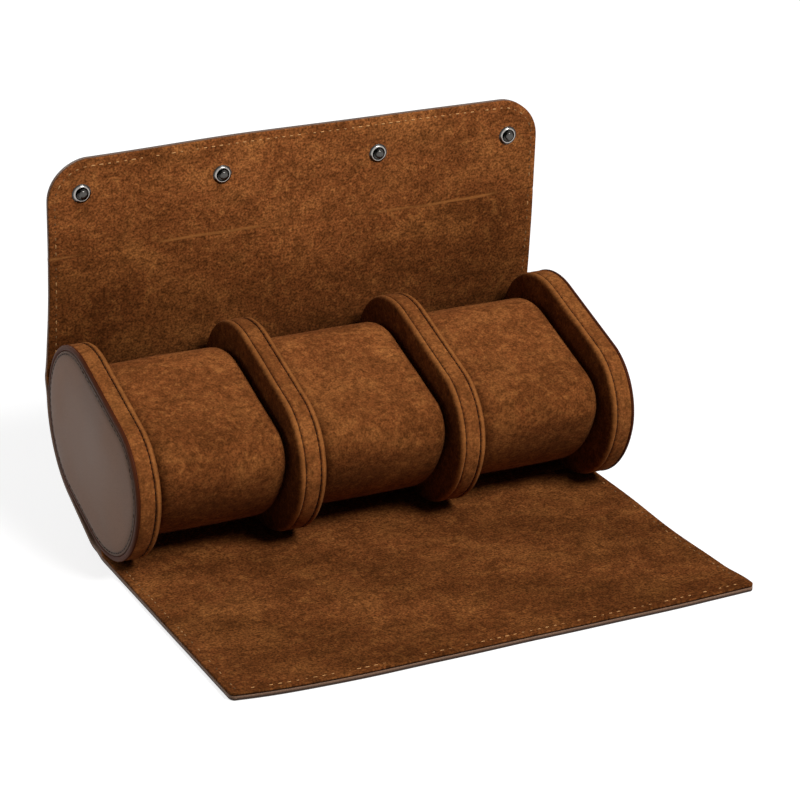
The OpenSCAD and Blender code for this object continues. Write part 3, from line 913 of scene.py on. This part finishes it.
def flap_seam(flap):
    """The stitched line of a flap in flat places (x, s): up the left edge, round the corners
    along the tip and down the right edge, evenly spaced, with its directions."""
    sign = np.sign(flap.tip)
    r = max(flap.corner_r - STITCH_INSET, 1.2 * MM)
    reach, top = HALF - STITCH_INSET, abs(flap.tip) - STITCH_INSET
    left = (r - reach, top - r) + r * direction(np.linspace(180, 90, 24))
    line = np.r_[[[-reach, 0]], left, left[::-1] * (-1, 1), [[reach, 0]]]
    length = run_length(line)
    pitch = bpy.context.scene.case_wrap.stitch_pitch
    at = np.arange(pitch / 2, length[-1], pitch)
    place = at_distance(at, length, line)
    heading = at_distance(at + 0.2 * MM, length, line) - place
    heading = heading / np.linalg.norm(heading, axis=1)[:, None]
    return place * (1, sign), heading * (1, sign)


def flap_stitches(flap, number, place, heading):
    """The stitches of one fold, on the lining and on the leather."""
    x, s = place.T
    line, normal = flap.at(s)
    tangent = tangents(normal)
    shifted = line + flap.shift(x, s)[:, None] * tangent
    centres, ups = [], []
    for depth, sunk, out in ((0, flap.sunk[0], 1), (WRAP, flap.sunk[1], -1)):
        up = out * np.c_[0 * x, normal]
        point = shifted + (flap.lift(x, s) - depth)[:, None] * normal
        centres.append(np.c_[x + flap.aside(x, s), point] - sunk * up)
        ups.append(up)
    run = np.tile(np.c_[heading[:, 0], heading[:, 1:] * tangent], (2, 1))
    # Stitches that run along the flap's sides are darker than those across its tip.
    darkening = 0.55 * smooth(np.abs(run[:, 1:]).max(axis=1) * 2 - 0.5)
    size = (bpy.context.scene.case_wrap.stitch_length, STITCH_WIDTH, STITCH_HEIGHT)
    piece = stitches(f"{flap.side}_fold_{number}_stitches", np.concatenate(centres), run,
                     np.concatenate(ups), size, look("tan_thread"), 1.2, darkening)
    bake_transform(piece)


def build_flap(flap):
    """Every fold of a flap, from the body out, and then the stitches of every fold."""
    joints = []
    for number in range(1, flap.folds + 1):
        first = flap.bounds[number - 1]
        if number < flap.folds:
            rows = rows_between(first, flap.bounds[number], flap.rows)
        else:
            rows = rows_to_tip(first, flap)
        ends = [(0, *flap.at(np.array([s]))[0][0].tolist())
                for s in (first, flap.reaches[number - 1])]
        before = f"{flap.side}_flap_{number - 1}" if number > 1 else "case_body"
        joints.append((before, f"{flap.side}_flap_{number}", *ends))
        fold_pieces(flap, number, rows)
    place, heading = flap_seam(flap)
    fold_of = np.digitize(np.abs(place[:, 1]), np.abs(flap.bounds))
    for number, joint in enumerate(joints, 1):
        here = fold_of == number
        if here.any():
            flap_stitches(flap, number, place[here], heading[here])


# ---- End caps and dividers ----
def padded_face(name, x_face, into, node_name):
    """A suede face over padding. From its middle out it is a low crown, then a round rim, and
    then it draws in to the seam; behind that it is flat. into is +1 or -1 towards the board."""
    share = np.array([0.03, 0.2, 0.4, 0.6, 0.75, 0.87, 0.95])
    turn = np.radians(np.linspace(0, 90, 8))
    rim = 2.0
    # Depth and inset in millimetres, scale of each ring, and its wear and painted light: painted
    # sheen on the round rim, painted shade into the seam and behind it.
    crown = np.c_[-0.3 * (1 - share**4), 0 * share + rim, share, 0 * share]
    bend = np.c_[0.95 * rim * (1 - np.cos(turn)), rim * (1 - np.sin(turn)), 0 * turn + 1,
                 0.55 * np.sin(turn) ** 2]
    hem = [(2.2, 0.12, 1, 0.3), (2.5, 0.42, 1, -0.35), (2.75, 0.85, 1, -0.85),
           (2.75, 1.5, 1, -1), (2.7, 2.5, 1, -1), (2.7, 2.5, 0.2, -1)]
    depth, inset, scale, wear = np.r_[crown, bend, hem].T
    rings = loft(x_face + into * depth * MM, inset * MM, scale)
    seed = int(abs(x_face) * 1e5) + (7 if x_face < 0 else 0)

    def uneven(points):
        """Slow waves of a hand-covered board, up to a quarter of a millimetre."""
        angle, away = round_middle(points, BODY_MIDDLE)
        rng = np.random.default_rng(seed)
        wave = sum(np.sin(k * angle + rng.uniform(0, 6.28)) / k for k in (3, 5, 8, 13))
        return np.c_[0.1 * MM * wave, 0.06 * MM * (wave - 1.2)[:, None] * away]

    def brushed_and_painted_light(points):
        """Painted shade over the face in the bay, and none on the rim."""
        return -0.55 * smooth(1 - np.abs(points[:, 0] - x_face) / (1.4 * MM))

    piece = shell(name, rings, look("body_suede"), wear, move=uneven, brushed_and_painted_light=brushed_and_painted_light)
    stand_in(piece, "case_body", node_name)


def suede_band(name, x_low, x_high, node_name):
    """The band round a board: a low crown between its two seams, closed on the inside."""
    t = np.linspace(-1, 1, 15)
    x = (x_low + x_high) / 2 + (x_high - x_low) / 2 * t
    inset = 0.15 * MM + 0.75 * MM * np.abs(t) ** 6
    # Lighter along the crown, rubbed and with a painted highlight, and painted shade into both
    # seams and on the closed inside.
    wear = 0.2 - 0.95 * np.abs(t) ** 12
    x, inset, wear = np.r_[x, x_high, x_low], np.r_[inset, [1.9 * MM] * 2], np.r_[wear, -1, -1]
    piece = shell(name, loft(x, inset), look("body_suede"), wear, closed=True)
    stand_in(piece, "case_body", node_name)


def loop_stitches(name, x, inset=0.5, outward_x=0.0, pitch=2.4, size=(1.3, 0.4, 0.4)):
    """Stitches round the profile at x, moved in by inset. outward_x is their normal's share
    along X, and the rest of it points out of the section. The other sizes are in millimetres."""
    point, normal, at = PROFILE
    total = at[-1] + np.linalg.norm(point[0] - point[-1])
    count = int(total / (pitch * MM))
    where = np.linspace(0, total, count, endpoint=False)
    ring = at_distance(where, at, point - inset * MM * normal, total)
    turn = np.interp(where, at, np.unwrap(np.arctan2(normal[:, 1], normal[:, 0])))
    away, one = direction(np.degrees(turn)), np.ones(count)
    run = np.c_[0 * one, -away[:, 1], away[:, 0]]
    up = np.c_[outward_x * one, np.sqrt(1 - outward_x**2) * away]
    piece = stitches(name, np.c_[x * one, ring], run, up, np.array(size) * MM,
                     look("dark_thread"), 1.0)
    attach(piece, "case_body")


def end_cap(side, sign):
    """Leather panel in a piped rim, suede band and padded suede face, out from the bay."""
    inner = HALF - CAP
    seam, rim = inner + FACE, HALF - 1.3 * MM
    padded_face(f"{side}_cap_suede_face", sign * inner, sign, f"{side}_cap_face")
    suede_band(f"{side}_cap_suede_band", *sorted((sign * seam, sign * rim)), f"{side}_cap_band")
    # The panel: a low dome, a stitched groove inside the rim, closed behind. Place along X and
    # inset in millimetres, scale of each ring, and its wear and painted light: a painted highlight
    # in the middle of the dome, painted shade towards its edge and in the groove.
    share = np.array([0.03, 0.2, 0.4, 0.6, 0.74, 0.85, 0.92, 0.965])
    dome = np.c_[107.75 - 0.85 * share**3, 0 * share + 5, share, 0.8 - share**2]
    groove = [(106.86, 4.8, 1, -0.25), (106.74, 4.3, 1, -0.3), (106.62, 3.8, 1, -0.6),
              (106.55, 3.45, 1, -0.9), (106.66, 3.0, 1, -0.6), (106.6, 2.6, 1, -0.5),
              (106.1, 2.3, 1, -0.9), (104, 2.3, 1, -1), (104, 2.3, 0.2, -1)]
    x, inset, scale, wear = np.r_[dome, groove].T
    rings = loft(sign * x * MM, inset * MM, scale)
    piece = shell(f"{side}_cap_leather_panel", rings, look("cap_hide"), wear)
    stand_in(piece, "case_body", f"{side}_cap_panel")
    # The piping: a closed tube of round section.
    turn = np.radians(np.arange(0, 360, 20))
    x = 105.65 * MM + 0.95 * MM * np.sin(turn)
    inset = 1.2 * MM - 1.25 * MM * np.cos(turn)
    # A painted highlight along one side of the tube.
    wear = 0.35 * np.clip(np.sin(turn + 0.5), 0, 1) ** 4
    piece = shell(f"{side}_cap_leather_piping", loft(sign * x, inset), look("piping_hide"),
                  wear, closed=True)
    stand_in(piece, "case_body", f"{side}_cap_piping")
    loop_stitches(f"{side}_cap_panel_stitches", sign * 106.59 * MM, 3.45, sign, 3.0,
                  (1.9, 0.45, 0.36))
    loop_stitches(f"{side}_cap_rim_stitches", sign * 105.35 * MM, 0.2, 0.3 * sign, 2.5,
                  (1.4, 0.4, 0.4))
    loop_stitches(f"{side}_cap_seam_stitches", sign * seam)


def divider(side, sign):
    """Two padded faces with a band between them, and a stitched seam at each side of it."""
    seams = {}
    for label, edge, into in (("inner", -1, 1), ("outer", 1, -1)):
        x = DIVIDER_X + edge * DIVIDER / 2
        padded_face(f"{side}_divider_suede_{label}", sign * x, sign * into,
                    f"{side}_divider_{label}_face")
        seams[label] = sign * (x + into * FACE)
    suede_band(f"{side}_divider_suede_band", *sorted(seams.values()), f"{side}_divider_band")
    for label, x in seams.items():
        loop_stitches(f"{side}_divider_{label}_stitches", x)


# ---- Pillows ----
PILLOW_U0 = PILLOW_INSET - FRONT_LOW_R
PILLOW_U1 = PROFILE_LENGTH - PILLOW_INSET - FRONT_LOW_R
PILLOW_V0 = PILLOW_SEAT_GAP - FRONT_LOW_R
PILLOW_V1 = PROFILE_HEIGHT - PILLOW_INSET - FRONT_LOW_R
PILLOW_BACK_R = (PILLOW_V1 - PILLOW_V0) / 2
PILLOW_LOW_R = min(47 * MM, PILLOW_V1 - PILLOW_V0 - PILLOW_TOP_R,
                   PILLOW_U1 - PILLOW_U0 - PILLOW_BACK_R)
PILLOW_MIDDLE = on_body((PILLOW_U0 + PILLOW_U1) / 2, (PILLOW_V0 + PILLOW_V1) / 2)
PILLOW_LOOP = section_loop(
    [
        (on_body(PILLOW_U0 + PILLOW_TOP_R, PILLOW_V1 - PILLOW_TOP_R), PILLOW_TOP_R,
         LEAN + 90, LEAN + 180),
        (on_body(PILLOW_U0 + PILLOW_LOW_R, PILLOW_V0 + PILLOW_LOW_R), PILLOW_LOW_R,
         LEAN + 180, LEAN + 270),
        (on_body(PILLOW_U1 - PILLOW_BACK_R, PILLOW_V0 + PILLOW_BACK_R), PILLOW_BACK_R,
         LEAN + 270, LEAN + 450),
    ],
    180,
)


def pillow(place, x0, x1):
    """A stuffed suede roll: shoulders are superellipses, ends are low domes, and the barrel
    swells a little between them."""
    r = SHOULDER_R
    x0, x1 = x0 - PILLOW_LONGER, x1 + PILLOW_LONGER
    share = np.array([0.04, 0.25, 0.5, 0.7, 0.85, 0.95])
    turn = np.radians(np.linspace(0, 90, 12))
    power = 0.78
    end_x = np.r_[-0.6 * MM * (1 - share**2), r * (1 - np.cos(turn) ** power)]
    end_in = np.r_[0 * share + r, r * (1 - np.sin(turn) ** power)]
    end_scale = np.r_[share, 1 + 0 * turn]
    barrel = np.linspace(0, 1, 26)[1:-1]
    x = np.r_[x0 + end_x, x0 + r + barrel * (x1 - x0 - 2 * r), x1 - end_x[::-1]]
    swell = 0.84 * MM * barrel * (1 - barrel)
    inset = np.r_[end_in, -swell, end_in[::-1]]
    scale = np.r_[end_scale, 1 + 0 * barrel, end_scale[::-1]]
    # A little painted shade on the rounded ends.
    wear = np.r_[-0.15 + 0 * end_x, 0 * barrel, -0.15 + 0 * end_x]

    def sag(points):
        """Shallow unevenness of a stuffed cover, and none where it rests on the lining."""
        angle, away = round_middle(points, PILLOW_MIDDLE)
        wave = waves(points[:, 0] / 0.045, 0.8 * np.cos(angle), 40 + len(place), 4)
        wave = 0.22 * MM * ramp(points[:, 2], 22, 18) * wave
        return np.c_[0 * wave, wave[:, None] * away]

    def brushed_and_painted_light(points):
        """Painted light on the crown, where the light falls from above, and painted shade towards
        the front and the ends.
        """
        crown = ramp(points[:, 2], 45, 28)
        from_middle = np.abs(points[:, 0] - (x0 + x1) / 2)
        end = ramp(from_middle - (x1 - x0) / 2, -5, 5)
        return -0.26 + 0.44 * crown - 0.25 * end

    rings = loft(x, inset, scale, PILLOW_LOOP, PILLOW_MIDDLE)
    piece = shell(f"{place}_pillow_suede", rings, look("body_suede"), wear, move=sag,
                  brushed_and_painted_light=brushed_and_painted_light)
    stand_in(piece, f"{place}_pillow", f"{place}_pillow_cover")


# ---- Press studs ----
def lathe(name, profile, places, axis):
    """Turned parts of nickel: a profile of (radius, height, painted shade and dark reflection)
    points, the sizes in millimetres, turned about axis at each place."""
    sides = 36
    radius, height, wear = np.array(profile).T[:, :, None, None]
    side_v = np.array([1.0, 0, 0])
    turn = np.radians(np.arange(sides) * 360 / sides)[:, None]
    spokes = np.cos(turn) * side_v + np.sin(turn) * np.cross(axis, side_v)
    one, faces, source = stacked(radius * MM * spokes + height * MM * axis)
    points = (one + np.array(places)[:, None]).reshape(-1, 3)
    wear = np.tile(np.repeat(wear, sides)[source], len(places))
    return new_piece(name, points, copies(faces, len(one), len(places)), look("bright_nickel"),
                     None, wear, None, 40)


def press_studs():
    """Flange, raised ring, and a ball on a neck, on the back flap's lining."""
    line, normal = back_at(np.array([BACK_AT[-1] + STUD_S]))
    # The third number paints shade and dark reflection on the flange, in the recess and on the
    # ball, so that only the raised ring stays bright.
    profile = [
        (0.9, -1.2, 0), (1.45, -1.2, 0), (1.5, -0.1, -0.3), (3.7, -0.05, -1), (3.9, 0.06, -0.95),
        (3.86, 0.2, -0.86), (3.7, 0.3, -0.9), (3.5, 0.34, -1), (3.38, 0.45, -0.6),
        (3.24, 0.72, 0), (3.0, 0.86, 0), (2.76, 0.82, -0.05), (2.62, 0.65, -0.7), (2.5, 0.4, -1),
        (2.3, 0.3, -1), (1.6, 0.3, -1), (1.32, 0.4, -1), (1.24, 0.8, -1), (1.24, 1.6, -1),
        (1.5, 1.7, -0.95), (1.68, 1.82, -0.9), (1.7, 1.95, -0.86), (1.6, 2.1, -0.84),
        (1.3, 2.24, -0.8), (0.6, 2.3, -0.8),
    ]
    piece = lathe("press_stud_faces", profile, [(x, *line[0]) for x in STUD_XS],
                  np.array([0, *normal[0]]))
    stand_in(piece, f"back_flap_{BACK_FOLDS}", "snap_studs")


def press_sockets():
    """Flat cups in the front flap's leather, with a groove for the ring spring."""
    # The third number paints shade on the rim and down in the cup.
    profile = [
        (0.9, -1.7, 0), (4.4, -1.68, 0), (4.55, -1.5, 0), (4.58, -0.15, -0.3), (4.42, 0.0, 0),
        (4.05, 0.02, 0), (3.3, -0.02, -0.2), (2.9, 0.0, -0.1), (2.35, 0.01, 0), (2.2, -0.05, 0),
        (2.15, -0.16, -0.5), (2.55, -0.2, -1), (2.6, -0.7, -1), (2.2, -0.78, -1),
        (2.15, -1.45, -1), (0.9, -1.5, -1),
    ]
    piece = lathe("press_socket_faces", profile, [(x, SOCKET_AT, 0) for x in STUD_XS],
                  np.array([0, 0, -1.0]))
    stand_in(piece, f"front_flap_{FRONT_FOLDS}", "snap_sockets")


# ---- Settings ----
def size(name, default, description):
    """A length of the settings."""
    return bpy.props.FloatProperty(name=name, description=description, default=default, min=0,
                                   unit="LENGTH", subtype="DISTANCE", precision=5)


def paint(name, code, description):
    """A colour of the settings, from its hex code."""
    return bpy.props.FloatVectorProperty(name=name, description=description, size=4, min=0,
                                         max=1, default=colour(code), subtype="COLOR")


def power(name, default, description):
    """The power of a lamp, in watts."""
    return bpy.props.FloatProperty(name=name, description=description, default=default, min=0,
                                   unit="POWER")


class CaseWrapSettings(bpy.types.PropertyGroup):
    """Sizes of the wrap's stitching."""

    stitch_pitch: size("Stitch pitch", 3.35 * MM, "From one stitch of the flaps to the next")
    stitch_length: size("Stitch length", 1.9 * MM, "Length of one stitch of the flaps")


class CaseColours(bpy.types.PropertyGroup):
    """Colours of the cloth and the leathers."""

    suede: paint("Suede", "#7b4522", "The suede where its nap stands straight")
    suede_raised: paint("Raised suede", "#a56a37", "The suede where its nap catches the light")
    suede_pressed: paint("Pressed suede", "#512d12", "The suede where its nap is pressed down")
    wrap_leather: paint("Wrap leather", "#765a48", "The outside of the wrap")
    cap_leather: paint("Cap leather", "#7f6251", "The panels of the end caps")
    piping: paint("Piping", "#46200f", "The piped rims of the end caps")


class CaseStageSettings(bpy.types.PropertyGroup):
    """Lamps of the stage."""

    key_power: power("Key power", 26.0, "Power of the large lamp over the case")
    fill_power: power("Fill power", 0.6, "Power of the lamp on the left")
    back_power: power("Back power", 6.0, "Power of the lamp behind the case")


# ---- Operators ----
class BaseOperator(bpy.types.Operator):
    """Builds the wrap under and behind the body"""

    bl_idname = "travel_case.base"
    bl_label = "Wrap under the body"

    def execute(self, context):
        base_pieces()
        return {"FINISHED"}


class BackFlapOperator(bpy.types.Operator):
    """Builds the standing back flap in its folds, with its stitches"""

    bl_idname = "travel_case.back_flap"
    bl_label = "Back flap"

    def execute(self, context):
        build_flap(BACK)
        return {"FINISHED"}


class FrontFlapOperator(bpy.types.Operator):
    """Builds the lying front flap in its folds, with its stitches"""

    bl_idname = "travel_case.front_flap"
    bl_label = "Front flap"

    def execute(self, context):
        build_flap(FRONT)
        return {"FINISHED"}


class EndCapsOperator(bpy.types.Operator):
    """Builds both end caps with their piping and seams"""

    bl_idname = "travel_case.end_caps"
    bl_label = "End caps"

    def execute(self, context):
        end_cap("left", -1)
        end_cap("right", 1)
        return {"FINISHED"}


class DividersOperator(bpy.types.Operator):
    """Builds both padded dividers"""

    bl_idname = "travel_case.dividers"
    bl_label = "Dividers"

    def execute(self, context):
        divider("left", -1)
        divider("right", 1)
        return {"FINISHED"}


class PillowsOperator(bpy.types.Operator):
    """Builds the three pillows"""

    bl_idname = "travel_case.pillows"
    bl_label = "Pillows"

    def execute(self, context):
        low, high, end = DIVIDER_X - DIVIDER / 2, DIVIDER_X + DIVIDER / 2, HALF - CAP
        for place, x0, x1 in (("left", -end, -high), ("middle", -low, low), ("right", high, end)):
            pillow(place, x0 + PILLOW_GAP, x1 - PILLOW_GAP)
        return {"FINISHED"}


class PressStudsOperator(bpy.types.Operator):
    """Builds the four press studs and their sockets"""

    bl_idname = "travel_case.press_studs"
    bl_label = "Press studs"

    def execute(self, context):
        press_studs()
        press_sockets()
        return {"FINISHED"}


class HiddenPartsOperator(bpy.types.Operator):
    """Gives the boards, cores, posts and springs inside their finishes"""

    bl_idname = "travel_case.hidden_parts"
    bl_label = "Parts inside"

    def execute(self, context):
        finishes = {"_board": "board_fibre", "_core": "core_foam", "snap_": "bright_nickel"}
        for name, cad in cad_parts.items():
            if cad.hide_render:
                continue
            found = [finish_name for key, finish_name in finishes.items() if key in name]
            if not found:
                raise RuntimeError(f"no finish for {name}")
            cad.data.materials.clear()
            cad.data.materials.append(look(found[0]))
        return {"FINISHED"}


class StageOperator(bpy.types.Operator):
    """Sets the camera, the lamps, the world and the floor"""

    bl_idname = "travel_case.stage"
    bl_label = "Stage"

    def execute(self, context):
        stage_and_camera()
        return {"FINISHED"}


# ---- Stage ----
CAMERA_TARGET = np.array([0.413, -43.0, 65.089]) * MM
CAMERA_AZIMUTH, CAMERA_ELEVATION, CAMERA_DISTANCE = -25.3045, 21.5392, 1150.7 * MM
LAMP_TARGET = (0, 0, 50 * MM)
FLOOR_HALF = 3.0
SKY_LIGHT = 0.045
PAPER_TONE, PAPER_GLOW = 0.42, 0.77


def staged(name, data, place=(0, 0, 0), towards=None):
    """An object of the stage at its place, turned to look towards a point."""
    made = placed(name, data)
    made.location = place
    if towards is not None:
        made.rotation_mode = "QUATERNION"
        made.rotation_quaternion = (Vector(towards) - Vector(place)).to_track_quat("-Z", "Y")
    return made


def seen_directly(tree):
    """1 for camera, glossy and transmission rays, which see white paper, and 0 for others."""
    shown = node(tree, "ShaderNodeLightPath").outputs
    bent = arithmetic(tree, "MAXIMUM", shown["Is Glossy Ray"], shown["Is Transmission Ray"])
    return arithmetic(tree, "MAXIMUM", shown["Is Camera Ray"], bent)


def stage_and_camera():
    """The camera, three lamps, a white world and a floor of white paper."""
    scene = bpy.context.scene
    settings = scene.case_stage
    around, up = direction(CAMERA_AZIMUTH), direction(CAMERA_ELEVATION)
    back = np.array([around[1] * up[0], -around[0] * up[0], up[1]])
    lens = bpy.data.cameras.new("camera")
    lens.sensor_fit = "HORIZONTAL"
    lens.sensor_width = 36
    lens.lens = 135
    lens.clip_start, lens.clip_end = 0.05, 20
    camera = staged("camera", lens, CAMERA_TARGET + back * CAMERA_DISTANCE, CAMERA_TARGET)
    scene.camera = camera
    for name, place, wide, watts in (
        ("key_lamp", (0.45, -0.95, 1.2), 0.55, settings.key_power),
        ("fill_lamp", (-0.6, 0.1, 0.2), 0.25, settings.fill_power),
        ("back_lamp", (-0.2, 1.4, 0.7), 0.5, settings.back_power),
    ):
        data = bpy.data.lights.new(name, "AREA")
        data.shape = "SQUARE"
        data.size = wide
        data.energy = watts
        staged(name, data, place, LAMP_TARGET)
    world = bpy.data.worlds.new("studio")
    world.use_nodes = True
    tree = world.node_tree
    strength = spread(tree, seen_directly(tree), 0.0, 1.0, SKY_LIGHT, 1.0)
    feed(tree, tree.nodes["Background"].inputs, {"Color": (1, 1, 1, 1), "Strength": strength})
    scene.world = world
    paper, tree, inputs = principled("paper")
    glow = arithmetic(tree, "MULTIPLY", seen_directly(tree), PAPER_GLOW)
    feed(tree, inputs, {"Base Color": (*[PAPER_TONE] * 3, 1), "Roughness": 0.9,
                        "Emission Color": (1, 1, 1, 1), "Emission Strength": glow})
    corners = FLOOR_HALF * np.array([(-1, -1, 0), (1, -1, 0), (1, 1, 0), (-1, 1, 0)])
    sheet = new_mesh("floor", corners, [np.array([[0, 1, 2, 3]])])
    sheet.materials.append(paper)
    staged("floor", sheet)
    scene.view_settings.view_transform = "Standard"


OPERATORS = (BaseOperator, BackFlapOperator, FrontFlapOperator, EndCapsOperator, DividersOperator,
             PillowsOperator, PressStudsOperator, HiddenPartsOperator, StageOperator)
SETTINGS = (("case_wrap", CaseWrapSettings), ("case_colours", CaseColours),
            ("case_stage", CaseStageSettings))


class CasePanel(bpy.types.Panel):
    """The case's settings and builders"""

    bl_idname = "VIEW3D_PT_travel_case"
    bl_label = "Travel case"
    bl_space_type = "VIEW_3D"
    bl_region_type = "UI"
    bl_category = "Travel case"

    def draw(self, context):
        for name, group_class in SETTINGS:
            box = self.layout.box()
            for key in group_class.__annotations__:
                box.prop(getattr(context.scene, name), key)
        for operator in OPERATORS:
            self.layout.operator(operator.bl_idname)


def register():
    for name, group_class in SETTINGS:
        bpy.utils.register_class(group_class)
        setattr(bpy.types.Scene, name, bpy.props.PointerProperty(type=group_class))
    for made in (*OPERATORS, CasePanel):
        bpy.utils.register_class(made)


def unregister():
    for made in reversed((*OPERATORS, CasePanel)):
        bpy.utils.unregister_class(made)
    for name, group_class in reversed(SETTINGS):
        delattr(bpy.types.Scene, name)
        bpy.utils.unregister_class(group_class)


def main():
    register()
    steps = bpy.ops.travel_case
    steps.base()
    steps.back_flap()
    steps.front_flap()
    steps.end_caps()
    steps.dividers()
    steps.pillows()
    steps.press_studs()
    steps.hidden_parts()
    steps.stage()


if __name__ == "__main__":
    main()
